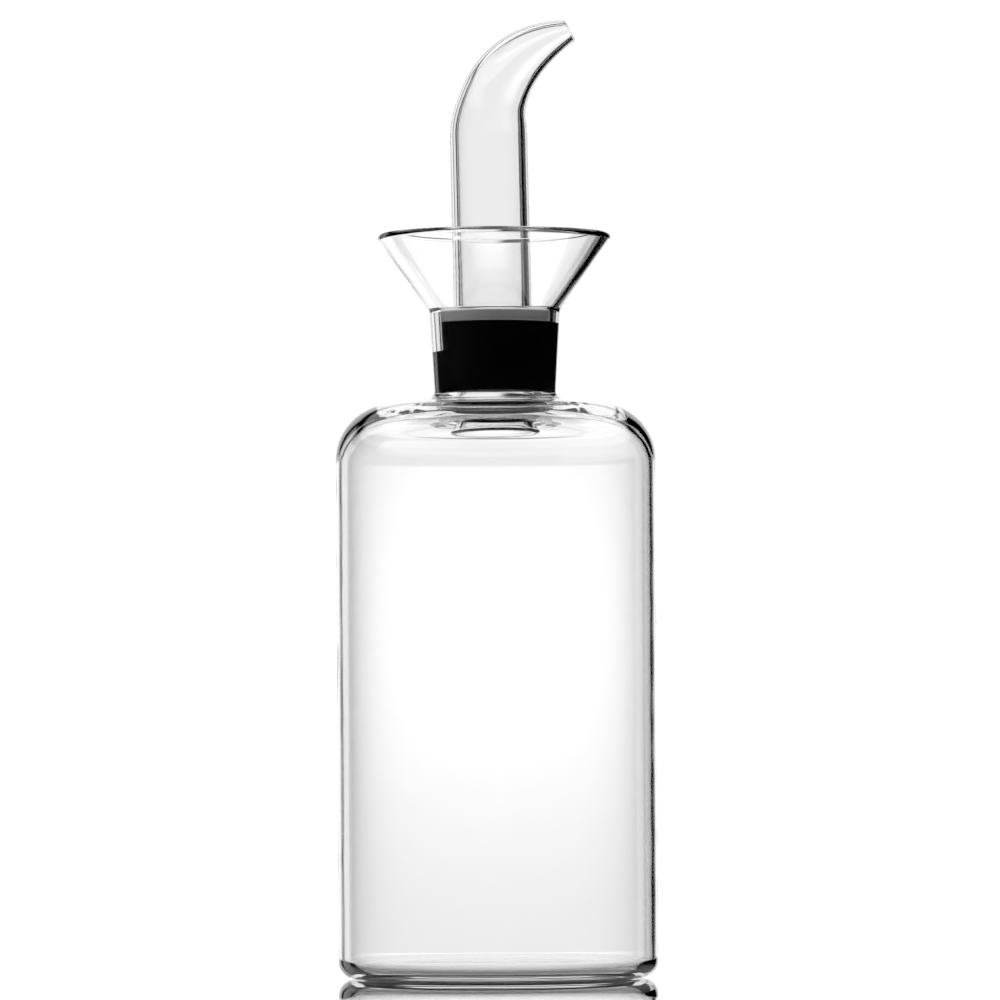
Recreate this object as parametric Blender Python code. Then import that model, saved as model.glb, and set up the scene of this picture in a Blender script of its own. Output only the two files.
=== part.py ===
"""Glass oil cruet: a cylindrical bottle with a flared drip collar, a rubber stopper and a curved pouring spout.

Metres, +Z up. The origin is the centre of the bottle's foot, on the surface that it stands on, and the spout
points along +X. Bottle and spout are hollow blown glass with open ends, and the stopper holds one in the other.
"""

import math

import bmesh
import bpy
from mathutils import Matrix, Vector
from mathutils.geometry import interpolate_bezier

MM = 0.001

# Bottle, from the foot up
BODY_RADIUS = 38.0 * MM
BODY_WALL = 1.4 * MM
BODY_HEIGHT = 135.1 * MM
FOOT_CORNER = 4.1 * MM
FOOT_RING_WIDTH = 4.0 * MM
FLOOR_WALL = 2.2 * MM
PUSH_UP = 1.0 * MM
SHOULDER_CORNER = 13.0 * MM
SHOULDER_WALL = 2.1 * MM
CORNER_WALL = 3.0 * MM
SHOULDER_RISE = 2.4 * MM
NECK_FOOT_RADIUS = 14.3 * MM
NECK_TOP_RADIUS = 15.5 * MM
NECK_WALL = 2.3 * MM
NECK_FILLET = 2.5 * MM
NECK_INNER_FILLET = 1.0 * MM
NECK_TOP = 158.6 * MM
COLLAR_TOP = 176.9 * MM
COLLAR_RADIUS = 27.7 * MM
COLLAR_WALL = 2.1 * MM
COLLAR_SLOPE = math.radians(33.6)
COLLAR_FILLET = 2.0 * MM
RIM_ROUNDING = 0.49

# Stopper, a tapered rubber sleeve that stands back from the glass in a band at its top and a patch at its left
GAP = 0.3 * MM
STOPPER_BOTTOM = 138.2 * MM
STOPPER_EDGE = 0.5 * MM
RELIEF_DEPTH = 0.3 * MM
RELIEF_STEP = 0.2 * MM
BAND_HEIGHT = 2.9 * MM
PATCH_HEIGHT = 9.7 * MM
PATCH_HALF_ANGLE = math.radians(35)

# Spout, a glass tube that leans back a little, bends forwards and narrows to its mouth
TUBE_FOOT_RADIUS = 9.3 * MM
TUBE_RADIUS = 9.25 * MM
TUBE_WALL = 1.6 * MM
LIP_RADIUS = 10.7 * MM
LIP_BOTTOM = 132.6 * MM
LIP_HEIGHT = 5.0 * MM
BEND_START = Vector((-1.2 * MM, 0, 200.2 * MM))
BEND_HANDLE = 19.4 * MM
NECKED_RADIUS = 8.4 * MM
NECKED_LENGTH = 9.6 * MM
NARROWING = 2.05
MOUTH_CENTRE = Vector((17.8 * MM, 0, 225.0 * MM))
MOUTH_ANGLE = math.radians(32)
MOUTH_HANDLE = 2.0 * MM
MOUTH_RADIUS = 2.75 * MM
MOUTH_WALL = 0.9 * MM
END_ROUNDING = 0.3

# Fineness of the round surfaces
BOTTLE_SIDES = 64
SPOUT_SIDES = 36
ARC_TOLERANCE = 0.05 * MM
MERGE_DISTANCE = 0.001 * MM
SHARP_ANGLE = math.radians(40)
LIP_STATIONS = 4
TUBE_STATIONS = 2
BEND_STATIONS = 16


def clear_scene():
    for thing in list(bpy.data.objects):
        bpy.data.objects.remove(thing)


def make_material(name, colour, roughness, transmission, ior):
    material = bpy.data.materials.new(name)
    material.use_nodes = True
    shader = material.node_tree.nodes["Principled BSDF"]
    shader.inputs["Base Color"].default_value = (*colour, 1)
    shader.inputs["Metallic"].default_value = 0
    shader.inputs["Roughness"].default_value = roughness
    shader.inputs["Transmission Weight"].default_value = transmission
    shader.inputs["IOR"].default_value = ior
    return material


def add_object(name, bm, material, location, parent):
    """Turns a bmesh into a named, smooth-shaded object that sits at its own reference point."""
    bmesh.ops.recalc_face_normals(bm, faces=bm.faces)
    mesh = bpy.data.meshes.new(name)
    bm.to_mesh(mesh)
    bm.free()
    mesh.shade_smooth()
    mesh.set_sharp_from_angle(angle=SHARP_ANGLE)
    mesh.materials.append(material)
    thing = bpy.data.objects.new(name, mesh)
    thing.location = location
    thing.parent = parent
    bpy.context.collection.objects.link(thing)
    return thing


def round_corners(corners):
    """Replaces each (radius, height, fillet) corner of an outline with a tangent arc, and returns (r, z) points."""
    points = []
    for index, (r, z, fillet) in enumerate(corners):
        here = Vector((r, z))
        if fillet == 0:
            points.append(here)
            continue
        back = (Vector(corners[index - 1][:2]) - here).normalized()
        ahead = (Vector(corners[(index + 1) % len(corners)][:2]) - here).normalized()
        turn = math.pi - back.angle(ahead)
        reach = fillet * math.tan(turn / 2)
        centre = here + (back + ahead).normalized() * fillet / math.cos(turn / 2)
        first = here + back * reach - centre
        last = here + ahead * reach - centre
        steps = max(2, round(turn / (2 * math.acos(1 - ARC_TOLERANCE / fillet))))
        sweep = first.angle_signed(last)
        for step in range(steps + 1):
            points.append(centre + Matrix.Rotation(-sweep * step / steps, 2) @ first)
    return points


def turn_outline(outline, sides):
    """Spins an (r, z) outline once round the Z axis. The outline starts and ends on the axis or closes on itself."""
    bm = bmesh.new()
    row = [bm.verts.new((point.x, 0, point.y)) for point in outline]
    edges = [bm.edges.new(pair) for pair in zip(row, row[1:])]
    if outline[0].x > 0:
        edges.append(bm.edges.new((row[-1], row[0])))
    bmesh.ops.spin(
        bm, geom=row + edges, cent=(0, 0, 0), axis=(0, 0, 1), angle=math.tau, steps=sides, use_merge=True
    )
    bmesh.ops.remove_doubles(bm, verts=bm.verts, dist=MERGE_DISTANCE)
    return bm


def neck_radius(z):
    """Outer radius of the tapered neck at a height."""
    foot = BODY_HEIGHT + SHOULDER_RISE
    share = (z - foot) / (NECK_TOP - foot)
    return NECK_FOOT_RADIUS + (NECK_TOP_RADIUS - NECK_FOOT_RADIUS) * share


def bottle_outline():
    """Up the inside from the middle of the floor, over the collar's rim, and down the outside to the foot."""
    foot = BODY_HEIGHT + SHOULDER_RISE
    inner = BODY_RADIUS - BODY_WALL
    ring_outer = BODY_RADIUS - FOOT_CORNER
    ring_inner = ring_outer - FOOT_RING_WIDTH
    bead = Vector((COLLAR_RADIUS - COLLAR_WALL / 2, COLLAR_TOP - COLLAR_WALL / 2))
    up_wall = Vector((math.sin(COLLAR_SLOPE), math.cos(COLLAR_SLOPE))) * COLLAR_WALL / 2
    out_of_wall = Vector((up_wall.y, -up_wall.x))
    rim_inner = bead + up_wall - out_of_wall
    rim_outer = bead + up_wall + out_of_wall
    rim_corner = COLLAR_WALL * RIM_ROUNDING
    inside = [
        (0, PUSH_UP + FLOOR_WALL, 0),
        (ring_inner, FLOOR_WALL, 0),
        (inner, FLOOR_WALL, FOOT_CORNER - BODY_WALL),
        (inner, BODY_HEIGHT - CORNER_WALL, SHOULDER_CORNER - SHOULDER_WALL),
        (neck_radius(foot - SHOULDER_WALL) - NECK_WALL, foot - SHOULDER_WALL, NECK_INNER_FILLET),
        (NECK_TOP_RADIUS - NECK_WALL, NECK_TOP, COLLAR_FILLET),
        (rim_inner.x, rim_inner.y, rim_corner),
    ]
    outside = [
        (rim_outer.x, rim_outer.y, rim_corner),
        (NECK_TOP_RADIUS, NECK_TOP, COLLAR_FILLET),
        (NECK_FOOT_RADIUS, foot, NECK_FILLET),
        (BODY_RADIUS, BODY_HEIGHT, SHOULDER_CORNER),
        (BODY_RADIUS, 0, FOOT_CORNER),
        (ring_inner, 0, 0),
        (0, PUSH_UP, 0),
    ]
    return round_corners(inside + outside)


def make_bottle(glass, parent):
    return add_object("bottle", turn_outline(bottle_outline(), BOTTLE_SIDES), glass, (0, 0, 0), parent)


def tube_lean(z):
    """How far the straight tube's axis stands from the bottle's axis at a height."""
    return BEND_START.x * (z - LIP_BOTTOM) / (BEND_START.z - LIP_BOTTOM)


def make_stopper(rubber, parent):
    """A tapered sleeve whose hole leans with the tube, with its reliefs at the top and at the left."""
    clearance = NECK_WALL + GAP
    hole = TUBE_FOOT_RADIUS + GAP
    band, patch = NECK_TOP - BAND_HEIGHT, NECK_TOP - PATCH_HEIGHT

    def outer(z, relief=0):
        return (neck_radius(z) - clearance - relief, z - STOPPER_BOTTOM, 0)

    outline = round_corners(
        [
            (hole, 0, STOPPER_EDGE),
            (hole, NECK_TOP - STOPPER_BOTTOM, STOPPER_EDGE),
            (*outer(NECK_TOP, RELIEF_DEPTH)[:2], STOPPER_EDGE),
            outer(band + RELIEF_STEP, RELIEF_DEPTH),
            outer(band),
            outer(patch + RELIEF_STEP),
            outer(patch),
            (*outer(STOPPER_BOTTOM)[:2], STOPPER_EDGE),
        ]
    )
    bm = turn_outline(outline, BOTTLE_SIDES)
    for vert in bm.verts:
        z = STOPPER_BOTTOM + vert.co.z
        if vert.co.xy.length < hole + STOPPER_EDGE:
            vert.co.x += tube_lean(z)
        elif patch < z - RELIEF_STEP / 2 < band and abs(math.atan2(vert.co.y, -vert.co.x)) < PATCH_HALF_ANGLE:
            vert.co.xy *= 1 - RELIEF_DEPTH / vert.co.xy.length
    return add_object("stopper", bm, rubber, (0, 0, STOPPER_BOTTOM), parent)


def spout_stations():
    """(centre, outer radius, wall) at each ring of the spout, from its lower lip to its mouth."""
    stations = []
    for step in range(LIP_STATIONS):
        share = step / LIP_STATIONS
        z = LIP_BOTTOM + LIP_HEIGHT * share
        radius = TUBE_FOOT_RADIUS + (LIP_RADIUS - TUBE_FOOT_RADIUS) * (1 - share) ** 2
        stations.append((Vector((tube_lean(z), 0, z)), radius, TUBE_WALL))

    tube_bottom = LIP_BOTTOM + LIP_HEIGHT
    for step in range(TUBE_STATIONS):
        share = step / TUBE_STATIONS
        z = tube_bottom + (BEND_START.z - tube_bottom) * share
        radius = TUBE_FOOT_RADIUS + (TUBE_RADIUS - TUBE_FOOT_RADIUS) * share
        stations.append((Vector((tube_lean(z), 0, z)), radius, TUBE_WALL))

    upwards = (BEND_START - Vector((0, 0, LIP_BOTTOM))).normalized()
    aim = Vector((math.cos(MOUTH_ANGLE), 0, math.sin(MOUTH_ANGLE)))
    before_mouth = MOUTH_CENTRE - aim * MOUTH_HANDLE
    bend = interpolate_bezier(
        BEND_START, BEND_START + upwards * BEND_HANDLE, before_mouth, MOUTH_CENTRE, BEND_STATIONS
    )
    lengths = [0.0]
    for before, after in zip(bend, bend[1:]):
        lengths.append(lengths[-1] + (after - before).length)
    for centre, length in zip(bend, lengths):
        share = length / lengths[-1]
        necked = min(length / NECKED_LENGTH, 1)
        step_in = (TUBE_RADIUS - NECKED_RADIUS) * necked**2 * (3 - 2 * necked)
        radius = TUBE_RADIUS - step_in - (NECKED_RADIUS - MOUTH_RADIUS) * share**NARROWING
        stations.append((centre, radius, TUBE_WALL - (TUBE_WALL - MOUTH_WALL) * share))
    return stations


def add_ring(bm, centre, along, radius, sides):
    """A ring of vertices round the spout's centreline, square to it. The centreline lies in the XZ plane."""
    side = Vector((0, 1, 0))
    up = side.cross(along)
    turns = [math.tau * index / sides for index in range(sides)]
    return [bm.verts.new(centre + (up * math.cos(turn) + side * math.sin(turn)) * radius) for turn in turns]


def make_spout(glass, parent):
    """Rings up the outside and down the inside of the tube, with rounded ends, bridged into one hollow solid."""
    stations = spout_stations()
    centres = [station[0] for station in stations]
    outer, inner = [], []
    for index, (centre, radius, wall) in enumerate(stations):
        along = (centres[min(index + 1, len(centres) - 1)] - centres[max(index - 1, 0)]).normalized()
        outer.append((centre, along, radius))
        inner.append((centre, along, radius - wall))

    def rounded_end(station, outwards):
        """Two rings that round the wall's end past its last station."""
        centre, along, radius = outer[station]
        wall = stations[station][2]
        tip = centre + along * outwards * wall / 2
        return [(tip, along, radius - wall * share) for share in (END_ROUNDING, 1 - END_ROUNDING)]

    rings = outer + rounded_end(-1, 1) + inner[::-1] + rounded_end(0, -1)[::-1]
    bm = bmesh.new()
    origin = Vector((0, 0, LIP_BOTTOM))
    rows = [add_ring(bm, centre - origin, along, radius, SPOUT_SIDES) for centre, along, radius in rings]
    for row, next_row in zip(rows, rows[1:] + rows[:1]):
        for index in range(SPOUT_SIDES):
            after = (index + 1) % SPOUT_SIDES
            bm.faces.new((row[index], row[after], next_row[after], next_row[index]))
    return add_object("spout", bm, glass, origin, parent)


def main():
    clear_scene()
    glass = make_material("clear borosilicate glass", (0.95, 0.97, 0.96), 0.0, 1.0, 1.47)
    rubber = make_material("black silicone rubber", (0.012, 0.012, 0.013), 0.45, 0.0, 1.41)
    cruet = bpy.data.objects.new("cruet", None)
    bpy.context.collection.objects.link(cruet)
    make_bottle(glass, cruet)
    make_stopper(rubber, cruet)
    make_spout(glass, cruet)


main()
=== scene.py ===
"""Dresses the oil cruet, on a studio stage.

It has a blown glass bottle, a moulded silicone stopper and a lamp-worked glass spout.
"""

import math

import bmesh
import bpy
from bpy.props import FloatProperty, FloatVectorProperty, IntProperty, PointerProperty
from mathutils import Matrix, Vector
from mathutils.geometry import interpolate_bezier


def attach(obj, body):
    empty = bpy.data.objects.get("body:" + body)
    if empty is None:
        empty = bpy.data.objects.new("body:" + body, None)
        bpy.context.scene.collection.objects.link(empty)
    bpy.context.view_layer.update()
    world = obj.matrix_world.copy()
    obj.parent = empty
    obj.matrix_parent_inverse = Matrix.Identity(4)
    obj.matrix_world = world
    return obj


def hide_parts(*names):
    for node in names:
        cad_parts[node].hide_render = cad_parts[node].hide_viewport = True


bl_info = {
    "name": "Oil Cruet",
    "version": (1, 0, 0),
    "blender": (4, 5, 0),
    "location": "View3D > Sidebar > Cruet",
    "description": "Models a glass oil cruet with a rubber stopper and a pouring spout",
    "category": "Add Mesh",
}

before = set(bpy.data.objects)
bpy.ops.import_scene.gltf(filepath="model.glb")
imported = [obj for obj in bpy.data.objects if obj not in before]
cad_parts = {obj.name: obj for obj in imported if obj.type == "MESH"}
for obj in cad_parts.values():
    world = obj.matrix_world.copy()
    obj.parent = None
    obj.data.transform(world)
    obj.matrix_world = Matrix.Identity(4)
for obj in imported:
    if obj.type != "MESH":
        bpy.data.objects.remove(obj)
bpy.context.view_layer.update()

MM = 0.001


def length(name, description, millimetres):
    value = millimetres * MM
    return FloatProperty(name=name, description=description, default=value, unit="LENGTH", precision=5)


def angle(name, description, degrees):
    return FloatProperty(name=name, description=description, default=math.radians(degrees), subtype="ANGLE")


def place(name, description, millimetres):
    default = [value * MM for value in millimetres]
    return FloatVectorProperty(
        name=name, description=description, default=default, unit="LENGTH", precision=5
    )


class BottleSizes(bpy.types.PropertyGroup):
    body_radius: length("Body radius", "Outer radius of the straight body", 38.0)
    body_wall: length("Body wall", "Thickness of the body's glass", 1.4)
    body_height: length("Body height", "Height of the shoulder's outer corner", 135.1)
    foot_corner: length("Foot corner", "Rounding between foot and body", 4.1)
    foot_ring_width: length("Foot ring", "Width of the flat ring that the bottle stands on", 4.0)
    floor_wall: length("Floor wall", "Thickness of the bottle's floor", 2.2)
    push_up: length("Push-up", "How far the floor rises in its middle", 1.0)
    shoulder_corner: length("Shoulder corner", "Rounding between body and shoulder", 13.0)
    shoulder_wall: length("Shoulder wall", "Thickness of the shoulder's glass at the neck", 2.1)
    corner_wall: length("Corner wall", "Thickness of the glass at the shoulder's corner", 3.0)
    shoulder_rise: length("Shoulder rise", "How far the shoulder rises towards the neck", 2.4)
    neck_foot_radius: length("Neck foot radius", "Outer radius at the neck's foot", 14.3)
    neck_top_radius: length("Neck top radius", "Outer radius where neck and collar meet", 15.5)
    neck_wall: length("Neck wall", "Thickness of the neck's glass", 2.3)
    neck_fillet: length("Neck fillet", "Rounding between shoulder and neck", 2.5)
    neck_inner_fillet: length("Neck inner fillet", "The same rounding on the inside", 1.0)
    neck_top: length("Neck top", "Height where neck and collar meet", 158.6)
    collar_top: length("Collar top", "Height of the collar's rim", 176.9)
    collar_radius: length("Collar radius", "Outer radius of the collar's rim", 27.7)
    collar_wall: length("Collar wall", "Thickness of the collar's glass", 2.1)
    collar_slope: angle("Collar slope", "Angle between the collar's side and the upright", 33.6)
    collar_fillet: length("Collar fillet", "Rounding between neck and collar", 2.0)
    rim_rounding: FloatProperty(
        name="Rim rounding", description="Rounding as a share of the wall", default=0.49
    )
    sides: IntProperty(name="Sides", description="Steps round the turned shapes", default=192)


class StopperSizes(bpy.types.PropertyGroup):
    bottom: length("Bottom", "Height of the stopper's lower face", 138.2)
    edge: length("Edge", "Rounding of the stopper's edges", 0.5)
    seat: length("Seat", "How far the rubber is pressed into the glass that it seals against", 0.06)
    relief_depth: length("Relief depth", "How far the rubber stands back from the glass in its reliefs", 0.3)
    relief_step: length("Relief step", "Height of the step into a relief", 0.2)
    band_height: length("Band height", "Height of the relief round the stopper's top", 2.9)
    patch_height: length("Patch height", "Height of the relief at the stopper's left", 9.7)
    patch_half_angle: angle("Patch half angle", "Half of the turn that the left relief takes up", 35)


class SpoutSizes(bpy.types.PropertyGroup):
    foot_radius: length("Foot radius", "Outer radius of the tube above its lip", 9.3)
    tube_radius: length("Tube radius", "Outer radius of the tube below its bend", 9.25)
    tube_wall: length("Tube wall", "Thickness of the tube's glass", 1.6)
    lip_radius: length("Lip radius", "Outer radius of the flared lower lip", 10.7)
    lip_bottom: length("Lip bottom", "Height of the lower lip", 132.6)
    lip_height: length("Lip height", "Height over which the lip flares", 5.0)
    bend_start: place("Bend start", "Where the straight tube ends", (-1.2, 0, 200.2))
    bend_handle: length("Bend handle", "How far the bend keeps to the tube's line", 19.4)
    necked_radius: length("Necked radius", "Outer radius that the tube was first drawn down to", 8.4)
    necked_length: length("Necked length", "Length over which it was first drawn down", 9.6)
    narrowing: FloatProperty(name="Narrowing", description="How late the beak narrows", default=2.05)
    mouth_centre: place("Mouth centre", "Centre of the mouth", (17.8, 0, 225.0))
    mouth_angle: angle("Mouth angle", "Angle of the mouth's line above level", 32)
    mouth_handle: length("Mouth handle", "How far the bend keeps to the mouth's line", 2.0)
    mouth_radius: length("Mouth radius", "Outer radius of the mouth", 2.75)
    mouth_wall: length("Mouth wall", "Thickness of the glass at the mouth", 0.9)
    sides: IntProperty(name="Sides", description="Steps round the tube", default=96)


class StageSizes(bpy.types.PropertyGroup):
    camera_distance: length("Camera distance", "From the camera to the bottle's axis", 1750)
    camera_height: length("Camera height", "Height of the level camera above the table", 58)
    camera_roll: angle("Camera roll", "How far the camera leans", 0.33)
    target: place("Target", "The point in the middle of the picture", (1.0, 0, 113.6))
    frame_width: length("Frame width", "Width of the picture at the target", 237.7)
    floor_radius: length("Floor radius", "Radius of the round table top", 200)
    lamp_height: length("Lamp height", "Height of the softbox over the cruet", 2200)
    lamp_width: length("Lamp width", "Width of that softbox", 1600)


# Modelling by hand


def linear(hex_colour):
    """Turns an sRGB hex colour into linear red, green, blue and alpha."""
    channels = [int(hex_colour[index:index + 2], 16) / 255 for index in (1, 3, 5)]
    return [c / 12.92 if c <= 0.04045 else ((c + 0.055) / 1.055) ** 2.4 for c in channels] + [1.0]


def start_vertex(name, location):
    """Adds a small plane, merges it to a single vertex and stays in edit mode."""
    bpy.ops.object.select_all(action="DESELECT")
    bpy.ops.mesh.primitive_plane_add(size=MM, location=location)
    piece = bpy.context.object
    piece.name = name
    bpy.ops.object.mode_set(mode="EDIT")
    bpy.ops.mesh.select_mode(type="VERT")
    bpy.ops.mesh.merge(type="CENTER")
    return piece


def select_vertices(piece, chosen):
    """Selects the vertices whose world place passes the test, in edit mode."""
    mesh = bmesh.from_edit_mesh(piece.data)
    world = piece.matrix_world
    for vert in mesh.verts:
        vert.select_set(chosen(world @ vert.co))
    mesh.select_flush_mode()
    bmesh.update_edit_mesh(piece.data)


def draw_outline(name, corners):
    """Extrudes a vertex round an outline of (r, z, fillet) corners, closes it and rounds its corners."""
    points = [Vector((r, 0, z)) for r, z, fillet in corners]
    piece = start_vertex(name, points[0])
    for before, after in zip(points, points[1:]):
        bpy.ops.mesh.extrude_vertices_move(TRANSFORM_OT_translate={"value": after - before})
    if points[0].x > 0:
        ends = (points[0], points[-1])
        select_vertices(piece, lambda co: min((co - end).length for end in ends) < MM / 100)
        bpy.ops.mesh.edge_face_add()
    for index, (r, z, fillet) in enumerate(corners):
        if fillet == 0:
            continue
        here = points[index]
        back = (points[index - 1] - here).normalized()
        ahead = (points[(index + 1) % len(points)] - here).normalized()
        turn = math.pi - back.angle(ahead)
        select_vertices(piece, lambda co: (co - here).length < MM / 100)
        bpy.ops.mesh.bevel(
            offset_type="OFFSET", offset=fillet * math.tan(turn / 2), affect="VERTICES",
            segments=max(4, round(math.degrees(turn) / 5)), profile=0.5, clamp_overlap=False,
        )
    return piece


def finish_turned(piece, sides):
    """Spins the outline once round the upright axis and closes the seam and the poles."""
    bpy.ops.mesh.select_all(action="SELECT")
    bpy.ops.mesh.spin(steps=sides, angle=math.tau, center=(0, 0, 0), axis=(0, 0, 1), use_auto_merge=True)
    bpy.ops.mesh.select_all(action="SELECT")
    bpy.ops.mesh.remove_doubles(threshold=MM / 1000)
    bpy.ops.mesh.normals_make_consistent(inside=False)
    finish_piece(piece)


def finish_piece(piece):
    """Leaves edit mode and puts the piece's place into its mesh."""
    bpy.ops.object.mode_set(mode="OBJECT")
    bpy.ops.object.transform_apply(location=True, rotation=True, scale=True)
    bpy.ops.object.shade_smooth_by_angle(angle=math.radians(40))


def neck_radius(bottle, z):
    """Outer radius of the tapered neck at a height."""
    foot = bottle.body_height + bottle.shoulder_rise
    share = (z - foot) / (bottle.neck_top - foot)
    return bottle.neck_foot_radius + (bottle.neck_top_radius - bottle.neck_foot_radius) * share


def bottle_outline(size):
    """Up the inside from the floor's middle, over the collar's rim, and down the outside to the foot."""
    foot = size.body_height + size.shoulder_rise
    inner = size.body_radius - size.body_wall
    ring_inner = size.body_radius - size.foot_corner - size.foot_ring_width
    bead = Vector((size.collar_radius - size.collar_wall / 2, size.collar_top - size.collar_wall / 2))
    up_wall = Vector((math.sin(size.collar_slope), math.cos(size.collar_slope))) * size.collar_wall / 2
    out_of_wall = Vector((up_wall.y, -up_wall.x))
    rim_inner = bead + up_wall - out_of_wall
    rim_outer = bead + up_wall + out_of_wall
    rim_corner = size.collar_wall * size.rim_rounding
    shoulder_inner = size.shoulder_corner - size.shoulder_wall
    neck_inner = neck_radius(size, foot - size.shoulder_wall) - size.neck_wall
    return [
        (0, size.push_up + size.floor_wall, 0),
        (ring_inner, size.floor_wall, 0),
        (inner, size.floor_wall, size.foot_corner - size.body_wall),
        (inner, size.body_height - size.corner_wall, shoulder_inner),
        (neck_inner, foot - size.shoulder_wall, size.neck_inner_fillet),
        (size.neck_top_radius - size.neck_wall, size.neck_top, size.collar_fillet),
        (rim_inner.x, rim_inner.y, rim_corner),
        (rim_outer.x, rim_outer.y, rim_corner),
        (size.neck_top_radius, size.neck_top, size.collar_fillet),
        (size.neck_foot_radius, foot, size.neck_fillet),
        (size.body_radius, size.body_height, size.shoulder_corner),
        (size.body_radius, 0, size.foot_corner),
        (ring_inner, 0, 0),
        (0, size.push_up, 0),
    ]


def tube_lean(spout, z):
    """How far the straight tube's axis stands from the bottle's axis at a height."""
    return spout.bend_start[0] * (z - spout.lip_bottom) / (spout.bend_start[2] - spout.lip_bottom)


def spout_stations(size):
    """(centre, outer radius, wall) at each ring of the spout, from its lower lip to its mouth."""
    lip_steps, tube_steps, bend_steps = 12, 6, 48
    stations = []
    for step in range(lip_steps):
        share = step / lip_steps
        z = size.lip_bottom + size.lip_height * share
        radius = size.foot_radius + (size.lip_radius - size.foot_radius) * (1 - share) ** 2
        stations.append((Vector((tube_lean(size, z), 0, z)), radius, size.tube_wall))
    tube_bottom = size.lip_bottom + size.lip_height
    for step in range(tube_steps):
        share = step / tube_steps
        z = tube_bottom + (size.bend_start[2] - tube_bottom) * share
        radius = size.foot_radius + (size.tube_radius - size.foot_radius) * share
        stations.append((Vector((tube_lean(size, z), 0, z)), radius, size.tube_wall))

    start, mouth = Vector(size.bend_start), Vector(size.mouth_centre)
    upwards = (start - Vector((0, 0, size.lip_bottom))).normalized()
    aim = Vector((math.cos(size.mouth_angle), 0, math.sin(size.mouth_angle)))
    bend = interpolate_bezier(
        start, start + upwards * size.bend_handle, mouth - aim * size.mouth_handle, mouth, bend_steps
    )
    lengths = [0.0]
    for before, after in zip(bend, bend[1:]):
        lengths.append(lengths[-1] + (after - before).length)
    for centre, run in zip(bend, lengths):
        share = run / lengths[-1]
        necked = min(run / size.necked_length, 1)
        step_in = (size.tube_radius - size.necked_radius) * necked**2 * (3 - 2 * necked)
        drawn_in = (size.necked_radius - size.mouth_radius) * share**size.narrowing
        radius = size.tube_radius - step_in - drawn_in
        stations.append((centre, radius, size.tube_wall - (size.tube_wall - size.mouth_wall) * share))
    return stations


def spout_rings(size):
    """(centre, tilt, radius) of each ring: up outside, round the mouth, down inside, round the lip."""
    stations = spout_stations(size)
    centres = [station[0] for station in stations]
    outer, inner = [], []
    for index, (centre, radius, wall) in enumerate(stations):
        along = centres[min(index + 1, len(centres) - 1)] - centres[max(index - 1, 0)]
        tilt = math.atan2(along.x, along.z)
        outer.append((centre, tilt, radius))
        inner.append((centre, tilt, radius - wall))

    def rounded_end(station, outwards):
        """Rings over the wall's end, as a half circle across the wall."""
        centre, tilt, radius = outer[station]
        wall = stations[station][2]
        along = Vector((math.sin(tilt), 0, math.cos(tilt))) * outwards
        turns = [math.pi * step / 8 for step in range(1, 8)]
        return [
            (centre + along * wall / 2 * math.sin(turn), tilt, radius - wall / 2 * (1 - math.cos(turn)))
            for turn in turns
        ]

    return outer + rounded_end(-1, 1) + inner[::-1] + rounded_end(0, -1)[::-1]


# Finishes


def add_node(tree, kind, inputs=None, **settings):
    """Adds a node with its settings, and sets or links its inputs."""
    node = tree.nodes.new(kind)
    for name, value in settings.items():
        setattr(node, name, value)
    for socket, value in (inputs or {}).items():
        if isinstance(value, bpy.types.NodeSocket):
            tree.links.new(value, node.inputs[socket])
        else:
            node.inputs[socket].default_value = value
    return node


def start_material(name):
    material = bpy.data.materials.new(name)
    material.use_nodes = True
    tree = material.node_tree
    return material, tree, tree.nodes["Principled BSDF"]


def borosilicate_glass(name):
    """Clear borosilicate glass, worked in a flame: colourless, sharp and glossy, with a faint waviness."""
    material, tree, shader = start_material(name)
    shader.inputs["Base Color"].default_value = linear("#FFFFFF")
    shader.inputs["Roughness"].default_value = 0.0
    shader.inputs["IOR"].default_value = 1.47
    shader.inputs["Transmission Weight"].default_value = 1.0
    place = add_node(tree, "ShaderNodeTexCoord").outputs["Object"]
    # Flame work leaves swellings about 12 mm across and some hundredths of a millimetre high
    swelling = add_node(tree, "ShaderNodeTexNoise", {"Vector": place, "Scale": 1 / (12 * MM), "Detail": 1.0})
    height = swelling.outputs[0]
    bump = add_node(tree, "ShaderNodeBump", {"Height": height, "Strength": 1.0, "Distance": 0.03 * MM})
    tree.links.new(bump.outputs["Normal"], shader.inputs["Normal"])
    return material


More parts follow.
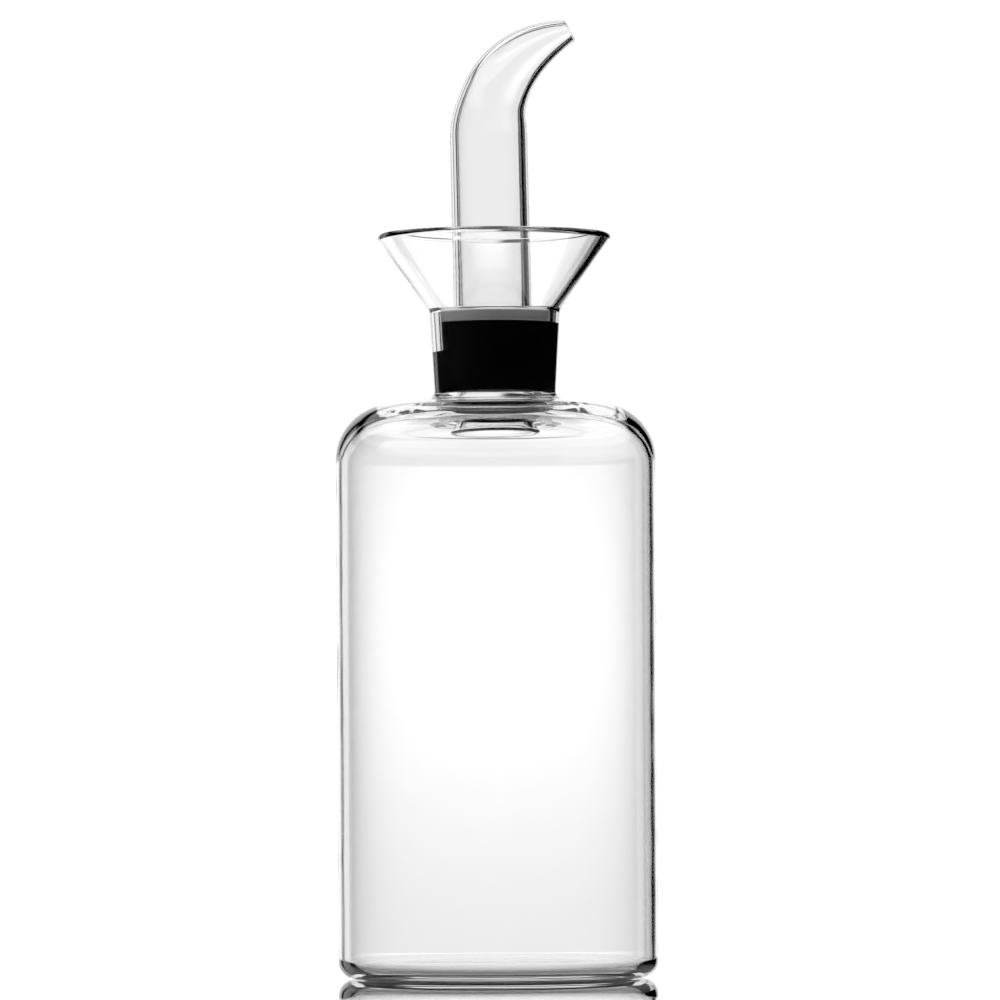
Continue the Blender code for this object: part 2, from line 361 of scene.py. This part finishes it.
def silicone_rubber(name, relief_from):
    """Black silicone rubber, compression moulded: matt, a soft sheen and a very fine grain, with a painted
    pale sheen on the relief round the top.
    """
    material, tree, shader = start_material(name)
    shader.inputs["IOR"].default_value = 1.41
    # The rubber wets the glass that it is pressed against, so little is reflected between them
    shader.inputs["Specular IOR Level"].default_value = 0.15
    place = add_node(tree, "ShaderNodeTexCoord").outputs["Object"]
    cloud = add_node(tree, "ShaderNodeTexNoise", {"Vector": place, "Scale": 1 / (4 * MM), "Detail": 3.0})
    black, worn_black = linear("#040405"), linear("#0A0A0B")
    shade = add_node(
        tree, "ShaderNodeMix", {0: cloud.outputs[0], 6: black, 7: worn_black}, data_type="RGBA"
    )
    # The relief round the top is painted pale grey: a painted sheen that stands in for the light seen on the
    # rubber's upper edge
    height = add_node(tree, "ShaderNodeSeparateXYZ", {0: place}).outputs["Z"]
    relief_full = relief_from + 0.2 * MM
    painted_sheen_mask = add_node(
        tree, "ShaderNodeMapRange", {"Value": height, "From Min": relief_from, "From Max": relief_full}
    )
    # Painted sheen: the light grey painted over the relief round the top
    painted_sheen_grey = linear("#E2E2E4")
    painted_sheen = add_node(
        tree, "ShaderNodeMix", {0: painted_sheen_mask.outputs[0], 6: shade.outputs[2], 7: painted_sheen_grey}, data_type="RGBA"
    )
    tree.links.new(painted_sheen.outputs[2], shader.inputs["Base Color"])
    rough = add_node(tree, "ShaderNodeMapRange", {"Value": cloud.outputs[0], "To Min": 0.38, "To Max": 0.55})
    tree.links.new(rough.outputs[0], shader.inputs["Roughness"])
    # The mould's spark-eroded grain is about 0.15 mm wide
    grain = add_node(tree, "ShaderNodeTexNoise", {"Vector": place, "Scale": 1 / (0.15 * MM), "Detail": 2.0})
    bump = add_node(
        tree, "ShaderNodeBump", {"Height": grain.outputs[0], "Strength": 0.6, "Distance": 0.02 * MM}
    )
    tree.links.new(bump.outputs["Normal"], shader.inputs["Normal"])
    return material


def polished_table(name):
    """White acrylic sheet, cast and polished: a bright white body that mirrors like glass at a low angle."""
    material, tree, shader = start_material(name)
    shader.inputs["Base Color"].default_value = linear("#F6F6F6")
    shader.inputs["Roughness"].default_value = 0.25
    shader.inputs["IOR"].default_value = 1.49
    mirror = add_node(tree, "ShaderNodeBsdfGlossy", {"Color": linear("#FFFFFF"), "Roughness": 0.0})
    gloss = add_node(tree, "ShaderNodeFresnel", {"IOR": 1.49})
    share = add_node(
        tree, "ShaderNodeMapRange", {"Value": gloss.outputs[0], "From Min": 0.04, "From Max": 0.55}
    )
    both = add_node(
        tree, "ShaderNodeMixShader", {0: share.outputs[0], 1: shader.outputs[0], 2: mirror.outputs[0]}
    )
    tree.links.new(both.outputs[0], tree.nodes["Material Output"].inputs["Surface"])
    return material


# Operators


class CRUET_OT_bottle(bpy.types.Operator):
    """Draw the bottle's outline, round its corners and spin it into a hollow glass bottle"""

    bl_idname = "cruet.bottle"
    bl_label = "Bottle"

    def execute(self, context):
        size = context.scene.cruet_bottle
        piece = draw_outline("bottle_glass", bottle_outline(size))
        finish_turned(piece, size.sides)
        piece.data.materials.append(borosilicate_glass("clear blown borosilicate glass"))
        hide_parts("bottle")
        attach(piece, "root")
        return {"FINISHED"}


class CRUET_OT_stopper(bpy.types.Operator):
    """Spin a tapered rubber sleeve between neck and tube and press its left relief in"""

    bl_idname = "cruet.stopper"
    bl_label = "Stopper"

    def execute(self, context):
        scene = context.scene
        bottle, spout, size = scene.cruet_bottle, scene.cruet_spout, scene.cruet_stopper
        piece = draw_outline("stopper_rubber", self.outline(bottle, spout, size))
        finish_turned(piece, bottle.sides)
        bpy.ops.object.mode_set(mode="EDIT")
        self.lean_hole(piece, bottle, spout, size)
        self.press_patch(piece, bottle, size)
        bpy.ops.object.mode_set(mode="OBJECT")
        relief_from = bottle.neck_top - size.band_height
        piece.data.materials.append(silicone_rubber("black moulded silicone rubber", relief_from))
        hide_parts("stopper")
        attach(piece, "root")
        return {"FINISHED"}

    def outline(self, bottle, spout, size):
        """Up the hole, over the top, down past the relief round the top and on to the lower face."""
        hole = spout.foot_radius - size.seat
        top = bottle.neck_top
        band, patch = top - size.band_height, top - size.patch_height
        relief = size.relief_depth + size.seat

        def outer(z):
            return neck_radius(bottle, z) - bottle.neck_wall + size.seat

        return [
            (hole, size.bottom, size.edge),
            (hole, top, size.edge),
            (outer(top) - relief, top, size.edge),
            (outer(band + size.relief_step) - relief, band + size.relief_step, 0),
            (outer(band), band, 0),
            (outer(patch + size.relief_step), patch + size.relief_step, 0),
            (outer(patch), patch, 0),
            (outer(size.bottom), size.bottom, size.edge),
        ]

    def lean_hole(self, piece, bottle, spout, size):
        """Moves the hole's ends sideways, so that it leans with the tube."""
        reach = size.edge * 1.01
        within = spout.foot_radius - size.seat + reach
        for z in (size.bottom, bottle.neck_top):
            select_vertices(piece, lambda co: co.xy.length < within and abs(co.z - z) < reach)
            bpy.ops.transform.translate(value=(tube_lean(spout, z), 0, 0))

    def press_patch(self, piece, bottle, size):
        """Presses the rows below the relief round the top inwards at the left."""
        middle = bottle.neck_top - (size.band_height + size.patch_height - size.relief_step) / 2
        reach = (size.patch_height - size.band_height) / 2
        radius = neck_radius(bottle, middle) - bottle.neck_wall + size.seat
        narrower = 1 - (size.relief_depth + size.seat) / radius

        def in_patch(co):
            on_outside = co.xy.length > radius - 2 * size.relief_depth
            at_left = abs(math.atan2(co.y, -co.x)) < size.patch_half_angle
            return on_outside and at_left and abs(co.z - middle) < reach

        select_vertices(piece, in_patch)
        bpy.ops.transform.resize(value=(narrower, narrower, 1), center_override=(0, 0, middle))


class CRUET_OT_spout(bpy.types.Operator):
    """Extrude a glass ring by ring into the bent, narrowing tube of the spout"""

    bl_idname = "cruet.spout"
    bl_label = "Spout"

    def execute(self, context):
        size = context.scene.cruet_spout
        rings = spout_rings(size)
        centre, tilt, radius = rings[0]
        bpy.ops.object.select_all(action="DESELECT")
        bpy.ops.mesh.primitive_circle_add(
            vertices=size.sides, radius=radius, location=centre, rotation=(0, tilt, 0)
        )
        piece = context.object
        piece.name = "spout_glass"
        bpy.ops.object.transform_apply(location=True, rotation=True, scale=True)
        bpy.ops.object.mode_set(mode="EDIT")
        bpy.ops.mesh.select_mode(type="EDGE")
        bpy.ops.mesh.select_all(action="SELECT")
        for next_centre, next_tilt, next_radius in rings[1:]:
            bpy.ops.mesh.extrude_edges_move(TRANSFORM_OT_translate={"value": next_centre - centre})
            if abs(next_tilt - tilt) > 1e-6:
                bpy.ops.transform.rotate(
                    value=tilt - next_tilt, orient_axis="Y", center_override=next_centre
                )
            grow = next_radius / radius
            bpy.ops.transform.resize(value=(grow, grow, grow), center_override=next_centre)
            centre, tilt, radius = next_centre, next_tilt, next_radius
        bpy.ops.mesh.select_all(action="DESELECT")
        bpy.ops.mesh.select_non_manifold()
        bpy.ops.mesh.bridge_edge_loops()
        bpy.ops.mesh.select_all(action="SELECT")
        bpy.ops.mesh.normals_make_consistent(inside=False)
        finish_piece(piece)
        piece.data.materials.append(borosilicate_glass("clear lamp-worked borosilicate glass"))
        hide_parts("spout")
        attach(piece, "root")
        return {"FINISHED"}


class CRUET_OT_stage(bpy.types.Operator):
    """Set the glossy white table, the softbox, the bright panels round the cruet and the camera"""

    bl_idname = "cruet.stage"
    bl_label = "Stage"

    def execute(self, context):
        size = context.scene.cruet_stage
        self.add_table(size)
        self.add_softbox(size)
        self.add_panels(context.scene)
        self.add_camera(context.scene, size)
        self.follow_light_in_glass(context.scene)
        context.scene.view_settings.view_transform = "Standard"
        return {"FINISHED"}

    def add_table(self, size):
        bpy.ops.object.select_all(action="DESELECT")
        bpy.ops.mesh.primitive_circle_add(vertices=128, radius=size.floor_radius, fill_type="NGON")
        table = bpy.context.object
        table.name = "table"
        table.data.materials.append(polished_table("polished white acrylic"))

    def add_softbox(self, size):
        """Lights the table and the rubber from above, and is kept out of the glass's reflections."""
        bpy.ops.object.light_add(type="AREA", location=(0, 0, size.lamp_height))
        lamp = bpy.context.object
        lamp.name = "overhead_softbox"
        lamp.data.shape = "DISK"
        lamp.data.size = size.lamp_width
        lamp.data.energy = 45
        lamp.visible_camera = False
        lamp.visible_glossy = False
        lamp.visible_transmission = False

    def follow_light_in_glass(self, scene):
        """Thick glass leads light along over many reflections, so that a path needs many steps."""
        scene.cycles.max_bounces = 64
        scene.cycles.transmission_bounces = 64
        scene.cycles.glossy_bounces = 16

    def add_panels(self, scene):
        """Soft panels round the cruet, with dark gaps that draw the dark lines at the glass's edges."""
        world = bpy.data.worlds.new("panels")
        scene.world = world
        world.use_nodes = True
        tree = world.node_tree
        direction = add_node(tree, "ShaderNodeTexCoord").outputs["Generated"]
        parts = add_node(tree, "ShaderNodeSeparateXYZ", {0: direction})

        def calculate(operation, first, second=0.0, third=0.0):
            inputs = {0: first, 1: second, 2: third}
            return add_node(tree, "ShaderNodeMath", inputs, operation=operation).outputs[0]

        def product(first, *others):
            for other in others:
                first = calculate("MULTIPLY", first, other)
            return first

        def fade(value, bright_at, dark_at):
            """A soft edge from 1 to 0 between two angles in degrees."""
            inputs = {
                "Value": value,
                "From Min": math.radians(bright_at),
                "From Max": math.radians(dark_at),
                "To Min": 1.0,
                "To Max": 0.0,
            }
            return add_node(tree, "ShaderNodeMapRange", inputs, interpolation_type="SMOOTHSTEP").outputs[0]

        def panel(value, middle, half):
            """1 within so many degrees of the middle, with a soft edge 4 degrees wide."""
            off = calculate("ABSOLUTE", calculate("SUBTRACT", value, math.radians(middle)))
            return fade(off, half - 2, half + 2)

        # Azimuth is 0 straight behind the cruet and grows to the right, and rise is the angle above level
        azimuth = calculate("ARCTAN2", parts.outputs["X"], parts.outputs["Y"])
        rise = calculate("ARCSINE", parts.outputs["Z"])
        turn = calculate("ABSOLUTE", azimuth)

        # The rear panel is brightest a degree above level, in a spot three times as wide as high
        above = calculate("SUBTRACT", rise, math.radians(1))
        aside = calculate("DIVIDE", azimuth, 3)
        off_spot = calculate("SQRT", calculate("MULTIPLY_ADD", aside, aside, product(above, above)))
        glow = calculate("MULTIPLY_ADD", fade(off_spot, 0, 3), 0.28, 0.92)
        rear = product(panel(azimuth, -1.75, 21.25), glow, fade(rise, -5, -9))
        left = product(panel(azimuth, -37, 8), 0.8)

        # Only rays that were let through, or that light the table and the rubber, see these panels
        side_and_front = calculate("MULTIPLY_ADD", panel(turn, 180, 30), 1.4, panel(azimuth, 100, 20))
        ray = add_node(tree, "ShaderNodeLightPath")
        reflected = calculate("SUBTRACT", ray.outputs["Ray Depth"], ray.outputs["Transmission Depth"])
        seen_by = calculate("MAXIMUM", calculate("LESS_THAN", reflected, 0.5), ray.outputs["Is Diffuse Ray"])
        side_and_front = product(side_and_front, fade(rise, -4, -8), seen_by)

        ring = calculate("ADD", calculate("MAXIMUM", rear, left), side_and_front)
        upright = product(ring, fade(rise, 20, 24))
        overhead = product(fade(rise, 30, 26), fade(rise, 48, 56))
        below_left = product(panel(azimuth, -62.5, 64.5), fade(rise, -9, -5))
        everything = calculate("MAXIMUM", calculate("ADD", upright, overhead), below_left)

        # The picture's own background is plain white
        strength = add_node(
            tree, "ShaderNodeMix", {0: ray.outputs["Is Camera Ray"], 2: product(everything, 1.05), 3: 1.05}
        )
        background = tree.nodes["Background"]
        background.inputs["Color"].default_value = linear("#FFFFFF")
        tree.links.new(strength.outputs[0], background.inputs["Strength"])

    def add_camera(self, scene, size):
        """A level camera whose lens is shifted up to the bottle, so that upright lines stay upright."""
        data = bpy.data.cameras.new("camera")
        data.sensor_width = 36
        data.lens = data.sensor_width * size.camera_distance / size.frame_width
        data.clip_start = 0.1
        data.clip_end = 50
        camera = bpy.data.objects.new("camera", data)
        scene.collection.objects.link(camera)
        eye = Vector((size.target[0], -size.camera_distance, size.camera_height))
        roll = Matrix.Rotation(-size.camera_roll, 4, "Z")
        camera.matrix_world = Matrix.Translation(eye) @ Matrix.Rotation(math.pi / 2, 4, "X") @ roll
        shift = roll.inverted() @ Vector((0, size.target[2] - size.camera_height, 0)) / size.frame_width
        data.shift_x, data.shift_y = shift.x, shift.y
        scene.camera = camera


class CRUET_PT_panel(bpy.types.Panel):
    bl_label = "Oil Cruet"
    bl_idname = "CRUET_PT_panel"
    bl_space_type = "VIEW_3D"
    bl_region_type = "UI"
    bl_category = "Cruet"

    def draw(self, context):
        for operator in OPERATORS:
            self.layout.operator(operator.bl_idname)
        for group in (context.scene.cruet_bottle, context.scene.cruet_stopper,
                      context.scene.cruet_spout, context.scene.cruet_stage):
            box = self.layout.box()
            for name in group.__annotations__:
                box.prop(group, name)


OPERATORS = (CRUET_OT_bottle, CRUET_OT_stopper, CRUET_OT_spout, CRUET_OT_stage)
GROUPS = {
    "cruet_bottle": BottleSizes,
    "cruet_stopper": StopperSizes,
    "cruet_spout": SpoutSizes,
    "cruet_stage": StageSizes,
}


def register():
    for name, group in GROUPS.items():
        bpy.utils.register_class(group)
        setattr(bpy.types.Scene, name, PointerProperty(type=group))
    for operator in OPERATORS:
        bpy.utils.register_class(operator)
    bpy.utils.register_class(CRUET_PT_panel)


def unregister():
    bpy.utils.unregister_class(CRUET_PT_panel)
    for operator in reversed(OPERATORS):
        bpy.utils.unregister_class(operator)
    for name, group in GROUPS.items():
        delattr(bpy.types.Scene, name)
        bpy.utils.unregister_class(group)


def main():
    register()
    bpy.ops.cruet.bottle()
    bpy.ops.cruet.stopper()
    bpy.ops.cruet.spout()
    bpy.ops.cruet.stage()


if __name__ == "__main__":
    main()
